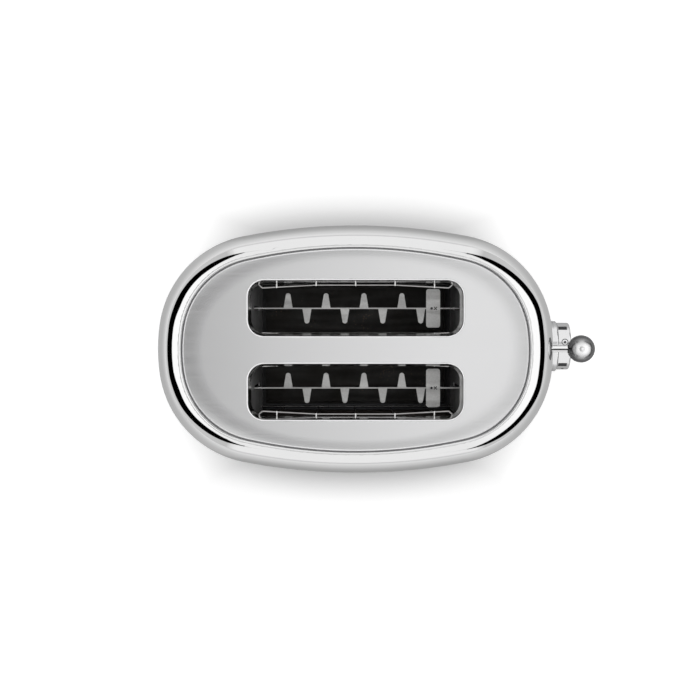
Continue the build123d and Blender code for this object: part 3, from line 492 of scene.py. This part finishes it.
def mica_board(name):
    material, tree, shader, place = start_finish(name, (0.045, 0.04, 0.034), 0.0, 0.5)
    cells = add_node(tree, "ShaderNodeTexVoronoi", {"Vector": place, "Scale": 160.0})
    flakes = cells.outputs["Distance"]
    drift = use_effect(tree, "mottle", place, Patches=22.0, Contrast=2.0)["Value"]
    # Painted shade: the flakes' colours are near-black so the board reads dark inside the slots.
    shaded_flakes = blend_colours(tree, flakes, (0.052, 0.046, 0.038), (0.034, 0.028, 0.022))
    feed(tree, shader, {
        "Base Color": blend_colours(tree, drift, shaded_flakes, (0.018, 0.014, 0.011)),
        "Roughness": remap(tree, flakes, (0.0, 0.8), (0.35, 0.6)),
        "Normal": bump(tree, flakes, 0.0001, 0.4),
    })
    return material


def wound_coil(name):
    material, tree, shader, place = start_finish(name, (0.42, 0.15, 0.05), 0.8, 0.28)
    inputs = {"Vector": place, "Scale": 480.0}
    rows = add_node(tree, "ShaderNodeTexWave", inputs, bands_direction="Z").outputs["Fac"]
    feed(tree, shader, {
        "Base Color": blend_colours(tree, rows, (0.16, 0.05, 0.02), (0.50, 0.19, 0.07)),
        "Roughness": remap(tree, rows, (0.0, 1.0), (0.45, 0.22)),
        "Normal": bump(tree, rows, 0.0002, 0.8),
    })
    return material


def circuit_board(name):
    material, tree, shader, place = start_finish(name, (0.03, 0.14, 0.05), 0.0, 0.3)
    checks = add_node(tree, "ShaderNodeTexChecker", {"Vector": place, "Scale": 1600.0})
    cloth = checks.outputs["Fac"]
    drift = use_effect(tree, "mottle", place, Patches=60.0)["Value"]
    green = blend_colours(tree, cloth, (0.025, 0.12, 0.045), (0.035, 0.16, 0.06))
    feed(tree, shader, {
        "Base Color": blend_colours(tree, drift, green, (0.05, 0.2, 0.08)),
        "Roughness": remap(tree, drift, middling, (0.22, 0.4)),
        "Normal": bump(tree, cloth, 0.00003, 0.3),
    })
    return material


mouldings = {
    "base_plastic": ((0.035, 0.035, 0.038), 0.5),
    "foot_rubber": ((0.045, 0.045, 0.045), 0.85, 0.0001, 1100.0),
    "seal_silicone": ((0.22, 0.22, 0.225), 0.55, 0.00005, 900.0),
    "slide_plastic": ((0.07, 0.07, 0.075), 0.4),
    "terminal_plastic": ((0.68, 0.65, 0.57), 0.45),
}
for name, values in mouldings.items():
    finishes[name] = moulded(name, *values)
finishes["heater_mica"] = mica_board("heater_mica")
finishes["coil_copper"] = wound_coil("coil_copper")
finishes["board_laminate"] = circuit_board("board_laminate")
print(len(finishes), "finishes are ready")

# %% [markdown]
# The record says which finish each CAD node takes, so the table of finishes is dealt out from it.
# Four nodes take a finish of their own instead of their slot's: the end plates a lighter,
# painted-light copy of the chamber sheet, the floor of the chamber a near-black one as painted
# shade, and the ball of the lever its chrome with painted light and shade.

# %% Give every CAD node its finish
own_finish = {
    "end_plate_far": "end_sheet_painted_light",
    "end_plate_lever": "end_sheet_painted_light",
    "chassis_floor": "floor_sheet_painted_shade",
    "lever_ball": "ball_chrome",
}
dealt = {}
for part in frame["record"]["subparts"]:
    slot = own_finish.get(part["node"], part["material_slot"])
    mesh = nodes[part["node"]].data
    mesh.materials.clear()
    mesh.materials.append(finishes[slot])
    dealt[slot] = dealt.get(slot, 0) + 1
print("finishes dealt:", dealt)

# %% [markdown]
# New trim is modelled as by hand: a primitive is set at its place, its faces are picked in code
# by where they lie or look, and the edit operators shape it. These helpers clear the selection,
# enter and leave edit mode, pick faces, lay cylinders, cut strips out of a tube, and round edges.

# %% Helpers for modelling
axis_turns = {"X": (0, math.radians(90), 0), "Y": (math.radians(90), 0, 0), "Z": (0, 0, 0)}


def begin():
    bpy.ops.object.select_all(action="DESELECT")


def edit():
    bpy.ops.object.mode_set(mode="EDIT")


def leave():
    bpy.ops.object.mode_set(mode="OBJECT")


def settle():
    bpy.ops.object.transform_apply(location=True, rotation=True, scale=True)


def pick_faces(test):
    shape = bmesh.from_edit_mesh(bpy.context.object.data)
    bpy.ops.mesh.select_mode(type="FACE")
    bpy.ops.mesh.select_all(action="DESELECT")
    for face in shape.faces:
        if test(face.calc_center_median(), face.normal):
            face.select_set(True)
    bmesh.update_edit_mesh(bpy.context.object.data)


def lay_cylinder(radius, depth, place, axis, vertices, ends="NGON"):
    begin()
    bpy.ops.mesh.primitive_cylinder_add(
        vertices=vertices, radius=radius, depth=depth, end_fill_type=ends,
        location=place, rotation=axis_turns[axis])
    settle()
    return bpy.context.object


def degrees_off_top(point, axis_z):
    return math.degrees(math.atan2(point.y, point.z - axis_z))


def cut_strips(outside, wall):
    edit()
    pick_faces(outside)
    bpy.ops.mesh.delete(type="FACE")
    bpy.ops.mesh.select_all(action="SELECT")
    bpy.ops.mesh.solidify(thickness=wall)
    bpy.ops.mesh.normals_make_consistent(inside=False)
    leave()


def round_edges(width, segments=2):
    soften = bpy.context.object.modifiers.new("rounded", "BEVEL")
    soften.width = width
    soften.segments = segments
    soften.limit_method = "ANGLE"
    soften.angle_limit = math.radians(40)
    bpy.ops.object.modifier_apply(modifier=soften.name)


# %% [markdown]
# Three more helpers copy a piece to a place, join pieces, and close a piece: its place goes into
# its mesh, it takes a finish, and it rides on the body that carries it.

# %% Helpers for placing pieces
def copy_to(piece, place, turn=(0, 0, 0)):
    begin()
    twin = piece.copy()
    twin.data = piece.data.copy()
    bpy.context.scene.collection.objects.link(twin)
    twin.select_set(True)
    bpy.context.view_layer.objects.active = twin
    twin.location = Vector(place)
    twin.rotation_euler = turn
    settle()
    return twin


def join(pieces):
    begin()
    for piece in pieces:
        piece.select_set(True)
    bpy.context.view_layer.objects.active = pieces[0]
    bpy.ops.object.join()
    return bpy.context.object


def close_piece(piece, name, body, finish):
    begin()
    piece.select_set(True)
    bpy.context.view_layer.objects.active = piece
    settle()
    bpy.ops.object.shade_smooth_by_angle(angle=math.radians(35))
    piece.name = name
    piece.data.name = name
    piece.data.materials.clear()
    piece.data.materials.append(finishes[finish])
    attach(piece, body)
    print(name, "rides on", body, "with", len(piece.data.polygons), "faces")


# %% [markdown]
# Crimp sleeves on the bread guards. On the real guards each upright hooks over the bowed top
# wire, and the weld there is pressed flat and catches the light as a short bright bar. A short
# cylinder is laid across the wire, flattened, its ends are drawn in and rounded, and it is
# copied to the five uprights of each guard. A guard is placed by the line of its top wire and by
# the side that this wire bows to.

# %% Model one crimp sleeve
sleeve_radius, sleeve_length, flattened = 0.00055, 0.0042, 0.72
sleeve = lay_cylinder(sleeve_radius, sleeve_length, (0, 0, 0), "Y", 16)
edit()
bpy.ops.mesh.select_all(action="SELECT")
bpy.ops.transform.resize(value=(1.0, 1.0, flattened))
pick_faces(lambda centre, normal: abs(normal.y) > 0.9)
bpy.ops.mesh.inset(thickness=0.00014, depth=0.00015)
leave()
round_edges(0.00007)
print("one sleeve has", len(sleeve.data.polygons), "faces")

# %% Set the sleeves on the four guards
hook_z, hook_pitch, hook_reach = 0.18355, 0.0306, 0.0014
half_wire, bow_depth = 0.0725, 0.0023
guard_tops = {1: (0.0479, 1), 2: (0.0129, -1), 3: (-0.0479, -1), 4: (-0.0129, 1)}
for number, (top_y, outward) in guard_tops.items():
    row = []
    for step in (-2, -1, 0, 1, 2):
        bow = min(1.0, (half_wire - abs(step) * hook_pitch) / (half_wire - hook_pitch))
        y = top_y + outward * (bow_depth * bow + hook_reach)
        row.append(copy_to(sleeve, (centre_x + step * hook_pitch, y, hook_z)))
    close_piece(join(row), f"guard_crimps_{number}", f"guard_{number}", "crimp_zinc")
bpy.data.objects.remove(sleeve)

# %% [markdown]
# Two small fixings hold each rest plate to its carrier: a blind rivet and a countersunk screw.
# From above one reads as a dark dot and the other as a dark cross; both are coloured black, a
# painted shade standing for the rivet's hole and the screw's recess. The rivet is a short
# cylinder whose top is inset and raised into a low dome. For the screw's recess a grid of five by
# five faces is laid down, all but a cross of them is deleted, and the cross is given its depth.

# %% Model the rivet and the cross recess
rivet_radius, rivet_height, dome_step = 0.0010, 0.0007, 0.00030
rivet = lay_cylinder(rivet_radius, rivet_height, (0, 0, 0), "Z", 32)
edit()
pick_faces(lambda centre, normal: normal.z > 0.9)
for step_up in (0.00018, 0.00008):
    bpy.ops.mesh.inset(thickness=dome_step, depth=step_up)
leave()
round_edges(0.00006)

cross_size, cross_arm, cross_depth = 0.0034, 0.0003, 0.0004
begin()
bpy.ops.mesh.primitive_grid_add(x_subdivisions=5, y_subdivisions=5, size=cross_size,
                                location=(0, 0, 0))
recess = bpy.context.object
edit()
pick_faces(lambda centre, normal: min(abs(centre.x), abs(centre.y)) > cross_arm)
bpy.ops.mesh.delete(type="FACE")
bpy.ops.mesh.select_all(action="SELECT")
bpy.ops.mesh.extrude_region_move(TRANSFORM_OT_translate={"value": (0, 0, -cross_depth)})
bpy.ops.mesh.select_all(action="SELECT")
bpy.ops.mesh.normals_make_consistent(inside=False)
leave()
round_edges(0.00005)
print("rivet", len(rivet.data.polygons), "and recess", len(recess.data.polygons), "faces")

# %% Fix the rest plates
rivet_shift, screw_shift, screw_proud = -0.0012, 0.0019, 0.0001
screw_turn = (0, 0, math.radians(45))
for number in (1, 2):
    low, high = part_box(f"bread_rest_{number}")
    x, y, z = (low[0] + high[0]) / 2, (low[1] + high[1]) / 2, high[2]
    pair = [
        copy_to(rivet, (x + rivet_shift, y, z)),
        copy_to(recess, (x + screw_shift, y, z + screw_proud), screw_turn),
    ]
    # Both fixings are black as painted shade of their hole and recess.
    close_piece(join(pair), f"rest_fixings_{number}", "carriage", "black_sheet")
for spare in (rivet, recess):
    bpy.data.objects.remove(spare)

# %% [markdown]
# Painted reflections on the knob. Four dark strips are laid on the knob's rim, a pair on each
# side, where its polished side would mirror dark bands: painted reflection. A tube as wide as the
# knob is added, every face outside the four strips is deleted, the rest gets a wall, and the
# strips' edges are eased.

# %% Model the knob's painted reflection bands
low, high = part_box("control_knob")
knob_radius = (high[1] - low[1]) / 2
knob_z = (low[2] + high[2]) / 2
band_proud, band_length, band_shift = 0.00012, 0.0074, 0.0041
band_turns, half_band = (51.0, 129.0), 6.5
reflection_bands = lay_cylinder(knob_radius + band_proud, band_length, (low[0] + band_shift, 0, knob_z),
                     "X", 240, "NOTHING")


def between_bands(centre, normal):
    turn = abs(degrees_off_top(centre, knob_z))
    return min(abs(turn - middle) for middle in band_turns) > half_band


cut_strips(between_bands, 0.0006)
round_edges(0.00008)
# The dark strips are painted reflection, not inlays.
close_piece(reflection_bands, "knob_painted_reflections", "knob", "base_plastic")

# %% [markdown]
# The knob's pointer is a slim bar laid in the dish of its face. A cube is stretched to the bar,
# tapered towards the hub by shrinking its lower face, and rounded.

# %% Model the knob's pointer
pointer_size, pointer_taper = (0.0012, 0.0016, 0.0090), 0.45
pointer_x, pointer_z = high[0] - 0.00085, knob_z + 0.0105
begin()
bpy.ops.mesh.primitive_cube_add(size=1.0, location=(pointer_x, 0, pointer_z))
pointer = bpy.context.object
pointer.scale = pointer_size
bpy.ops.object.transform_apply(location=False, rotation=False, scale=True)
edit()
pick_faces(lambda centre, normal: normal.z < -0.9)
bpy.ops.transform.resize(value=(1.0, pointer_taper, 1.0))
leave()
round_edges(0.0003, 3)
close_piece(pointer, "knob_pointer", "knob", "base_plastic")

# %% [markdown]
# A ring with a dot marks the knob's rest position on its rim. A thin torus is laid on top of the
# knob with a short rounded stud in its middle; both are then turned about the knob's axis.

# %% Model the knob's rest mark
mark_x, mark_turn = low[0] + 0.0052, math.radians(11.0)
knob_top = knob_z + knob_radius
ring_radius, ring_wire, ring_sunk = 0.0026, 0.0003, 0.00005
stud_radius, stud_height, stud_sunk = 0.0010, 0.0007, 0.0002
begin()
bpy.ops.mesh.primitive_torus_add(
    major_segments=48, minor_segments=12, major_radius=ring_radius, minor_radius=ring_wire,
    location=(mark_x, 0, knob_top - ring_sunk))
ring = bpy.context.object
stud = lay_cylinder(stud_radius, stud_height, (mark_x, 0, knob_top - stud_sunk), "Z", 24)
edit()
pick_faces(lambda centre, normal: normal.z > 0.9)
bpy.ops.mesh.inset(thickness=0.0002, depth=0.00006)
leave()
round_edges(0.00005)
mark = join([ring, stud])
settle()
edit()
bpy.ops.mesh.select_all(action="SELECT")
bpy.ops.transform.translate(value=(0.0, 0.0, -knob_z))
bpy.ops.transform.rotate(value=mark_turn, orient_axis="X", center_override=(0.0, 0.0, 0.0))
bpy.ops.transform.translate(value=(0.0, 0.0, knob_z))
leave()
centre_y = sum(point.co.y for point in mark.data.vertices) / len(mark.data.vertices)
print("the mark sits", round(centre_y * 1000, 2), "mm off the knob's top")
close_piece(mark, "knob_mark", "knob", "base_plastic")

# %% [markdown]
# A dark line runs along the lever rod, a little off its top: painted reflection, standing for
# the dark band that the polished rod mirrors. A tube just wider than the rod is cut down to one
# narrow strip by deleting its other faces, thickened inwards, and left a hair proud. Its ends are
# hidden inside the shell and the ball.

# %% Model the painted reflection line on the lever rod
low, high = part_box("lever_rod")
rod_z = (low[2] + high[2]) / 2
rod_radius = (high[2] - low[2]) / 2
ball_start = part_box("lever_ball")[0][0]
shell_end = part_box("outer_shell")[1][0]
start_x, end_x = shell_end - 0.006, ball_start + 0.0008
line_proud, line_wall = 0.00006, 0.0003
line_turn, half_line = -11.0, 15.0
rod_reflection_line = lay_cylinder(rod_radius + line_proud, end_x - start_x, ((start_x + end_x) / 2, 0, rod_z),
                    "X", 96, "NOTHING")
cut_strips(lambda centre, normal: abs(degrees_off_top(centre, rod_z) - line_turn) > half_line,
           line_wall)
close_piece(rod_reflection_line, "lever_painted_reflection", "carriage", "rod_reflection_dark")

# %% [markdown]
# A small black disc sits where the rod enters the ball and hides the ball's bore: a painted
# reflection of the dark spot that the ball's neck mirrors there. A flat cylinder is laid on the
# rod's axis, its outer face is inset and drawn out into a low cone, and its rim is rounded.

# %% Model the neck's painted dark disc
disc_rim, disc_thickness, disc_step = 0.0008, 0.0008, 0.0005
neck_dark_disc = lay_cylinder(rod_radius + disc_rim, disc_thickness,
                      (ball_start + 0.0001, 0, rod_z), "X", 48)
edit()
pick_faces(lambda centre, normal: normal.x < -0.9)
bpy.ops.mesh.inset(thickness=disc_step, depth=0.0)
bpy.ops.mesh.extrude_region_move(TRANSFORM_OT_translate={"value": (-disc_step, 0, 0)})
leave()
round_edges(0.00015)
close_piece(neck_dark_disc, "neck_painted_reflection", "carriage", "black_sheet")

# %% [markdown]
# The table. A plane under the feet, wide across the slots and shorter along them. To the camera
# it glows: the glow is weakest beside the long sides, which deepens the toaster's soft shadow
# there as painted shadow, and strongest beyond the two ends, where it whitens away their shadow
# as painted light, so it reads as a white sweep. Mirrors see it differently: its colour is
# painted darker close to the body, a painted shadow, and it glows brighter towards its ends, a
# painted light. Distances are counted in ovals as large as the body's foot.

# %% Lay the table
begin()
bpy.ops.mesh.primitive_plane_add(size=2.0, location=(0.0, 0.0, 0.0))
table = bpy.context.object
table.name = "table"
edit()
bpy.ops.transform.resize(value=(0.925, 2.60, 1.0))
bpy.ops.transform.translate(value=(-0.175, 0.0, 0.0))
leave()

# %% Paint the table
foot_length, foot_width = 0.155, 0.097
in_daylight, mirror_shadow_colour = (0.84, 0.84, 0.84), (0.44, 0.44, 0.44)
white = bpy.data.materials.new("white_sweep")
white.use_nodes = True
tree = white.node_tree
surface = tree.nodes["Principled BSDF"].inputs
surface["Roughness"].default_value = 0.9
surface["Specular IOR Level"].default_value = 0.1
surface["Emission Color"].default_value = (1.0, 1.0, 1.0, 1.0)
inputs = {0: add_node(tree, "ShaderNodeTexCoord").outputs["Object"], 1: (centre_x, 0.0, 0.0)}
apart = add_node(tree, "ShaderNodeVectorMath", inputs, operation="SUBTRACT").outputs[0]
apart = split(tree, apart)
distance = oval_distance(tree, apart, foot_length, foot_width)
lengthways = absolute(tree, apart["X"])
path = add_node(tree, "ShaderNodeLightPath").outputs
looked_at = larger(tree, path["Is Camera Ray"], path["Is Transmission Ray"])

# Painted light and shadow: the camera's glow is strongest beyond the ends and weakest beside the
# long sides.
end_painted_light = remap(tree, lengthways, (0.06, 0.185), (0.0, 0.62))
lift = larger(tree, remap(tree, distance, (1.04, 1.50), (0.0, 0.38)), end_painted_light)
lift = plus(tree, lift, remap(tree, distance, (3.0, 14.0), (0.0, 0.60)))
# Painted light for mirrors: the table glows brighter far away and towards its ends.
far_glow = larger(tree, remap(tree, distance, (2.5, 11.0), (0.0, 0.42)),
                  remap(tree, lengthways, (0.35, 1.05), (0.0, 0.38)))
glow = plus(tree, times(tree, looked_at, lift), times(tree, path["Is Glossy Ray"], far_glow))
# Painted shadow for mirrors: the table's colour darkens close to the body.
mirror_painted_shadow = times(tree, remap(tree, distance, (1.0, 5.5), (1.0, 0.0)),
             remap(tree, lengthways, (0.12, 0.19), (1.0, 0.55)))
mirror_painted_shadow = times(tree, path["Is Glossy Ray"], mirror_painted_shadow)
feed(tree, surface, {
    "Base Color": blend_colours(tree, mirror_painted_shadow, in_daylight, mirror_shadow_colour),
    "Emission Strength": glow,
})
table.data.materials.append(white)
print("the table is", round(table.dimensions.x, 2), "by", round(table.dimensions.y, 2), "m")

# %% [markdown]
# The studio. Diffuse light comes from an even pale dome and one broad lamp above. Mirrors need
# something to mirror, so for glossy rays the dome has shape. Between the panels and the table
# lies a dark gap, which widens towards the two ends and climbs towards the long sides: the
# polished shoulder draws it as the thin black crescents at both ends. Its height differs
# between the far end and the lever end, so what shapes it is blended from one to the other.

# %% Shape the dark gap
gap_widths = ((0.18, 0.0), (0.24, 0.012), (0.32, 0.040), (0.44, 0.088),
              (0.60, 0.130), (0.78, 0.155), (0.94, 0.195), (1.0, 0.175))
gap_blur = 0.02
far_to_lever = (-0.3, 0.3)
world = bpy.data.worlds.new("studio")
bpy.context.scene.world = world
world.use_nodes = True
tree = world.node_tree
background = tree.nodes["Background"].inputs
towards = split(tree, add_node(tree, "ShaderNodeTexCoord").outputs["Generated"])
level = math_node(tree, "SQRT", minus(tree, 1.0001, power(tree, towards["Z"], 2.0)))
endward = over(tree, absolute(tree, towards["X"]), level)
sideward = over(tree, absolute(tree, towards["Y"]), level)

far_rise = remap(tree, sideward, (0.45, 1.0), (0.0, 0.19))
lever_rise = times(tree, remap(tree, sideward, (0.2, 1.0), (0.0, 0.40)),
                   remap(tree, towards["Y"], (-0.2, 0.2), (0.45, 1.0)))
rise = remap(tree, towards["X"], far_to_lever, (far_rise, lever_rise))
tip = times(tree, remap(tree, towards["X"], far_to_lever, (-0.05, 0.06)),
            remap(tree, endward, (0.94, 1.0)))
middle = plus(tree, remap(tree, towards["X"], far_to_lever, (0.13, -0.045)), tip)
offset = minus(tree, towards["Z"], plus(tree, middle, rise))
half_gap = ramp(tree, endward, gap_widths)
inside_gap = over(tree, minus(tree, half_gap, absolute(tree, offset)), gap_blur, clamp=True)
print("the gap is set at", len(gap_widths), "places between long side and end")

# %% [markdown]
# Around that gap the mirrors see white side panels, brightest towards the two ends, and a top
# that is brightest a little towards the lever and falls off on all sides. Towards the ends the
# light below the gap is dimmer than the light above it. The camera sees plain white, and what
# lights the rough surfaces is one even, weaker grey.

# %% Light the studio
top_levels = ((0.18, 0.10), (0.28, 0.22), (0.34, 0.50), (0.41, 0.88), (0.50, 0.95),
              (0.56, 1.03), (0.61, 1.24), (0.67, 1.22), (0.74, 0.72), (0.82, 0.35))
even_light, white_backdrop = 0.20, 1.05
below = larger(tree, remap(tree, offset, (-0.03, 0.03), (0.60, 1.0)),
               remap(tree, endward, (0.30, 0.60), (1.0, 0.0)))
side = times(tree, remap(tree, endward, (0.2, 0.95), (1.0, 1.22)), below)
overhead = ramp(tree, plus(tree, towards["X"], 0.5), top_levels)
beside = remap(tree, absolute(tree, towards["Y"]), (0.10, 0.27), (1.0, 0.45))
above = times(tree, overhead, beside)
dome = blend_values(tree, remap(tree, towards["Z"], (0.90, 0.95)), side, above)
mirrored = times(tree, dome, minus(tree, 1.0, inside_gap))

path = add_node(tree, "ShaderNodeLightPath").outputs
looked_at = larger(tree, path["Is Camera Ray"], path["Is Transmission Ray"])
plain = blend_values(tree, looked_at, even_light, white_backdrop)
before_diffuse = math_node(tree, "LESS_THAN", path["Diffuse Depth"], 0.5)
first_hand = times(tree, path["Is Glossy Ray"], before_diffuse)
feed(tree, background, {"Strength": blend_values(tree, first_hand, plain, mirrored)})
background["Color"].default_value = (1.0, 1.0, 1.0, 1.0)
print("the studio has", len(tree.nodes), "shader nodes")

# %% [markdown]
# The lamp is a broad panel above the body, a little to the back. Mirrors don't see it, because
# the dome already holds what they should show.

# %% Hang the lamp
panel = bpy.data.lights.new("overhead_panel", "AREA")
panel.shape = "RECTANGLE"
panel.size = 1.3
panel.size_y = 0.50
panel.energy = 20.0
lamp = bpy.data.objects.new("overhead_panel", panel)
lamp.location = (centre_x, 0.10, 1.7)
lamp.visible_glossy = False
bpy.context.scene.collection.objects.link(lamp)
print("lamp of", panel.energy, "W hangs", lamp.location.z, "m up")

# %% [markdown]
# The camera hangs 1.35 m above the table, almost straight over the body and tilted by a degree
# and a half, and looks through a 77 mm lens. These come from how the slots, the plate and the
# shell's outline line up in the photograph.

# %% Hang the camera
camera_data = bpy.data.cameras.new("overhead_camera")
camera_data.sensor_width = 36.0
camera_data.lens = 77.07
camera = bpy.data.objects.new("overhead_camera", camera_data)
camera.location = (centre_x - 0.00435, 0.0292, 1.346)
camera.rotation_euler = (math.radians(-1.4525), 0.0, 0.0)
bpy.context.scene.collection.objects.link(camera)
bpy.context.scene.camera = camera
bpy.context.scene.view_settings.view_transform = "Standard"
print("camera at", [round(value, 4) for value in camera.location])
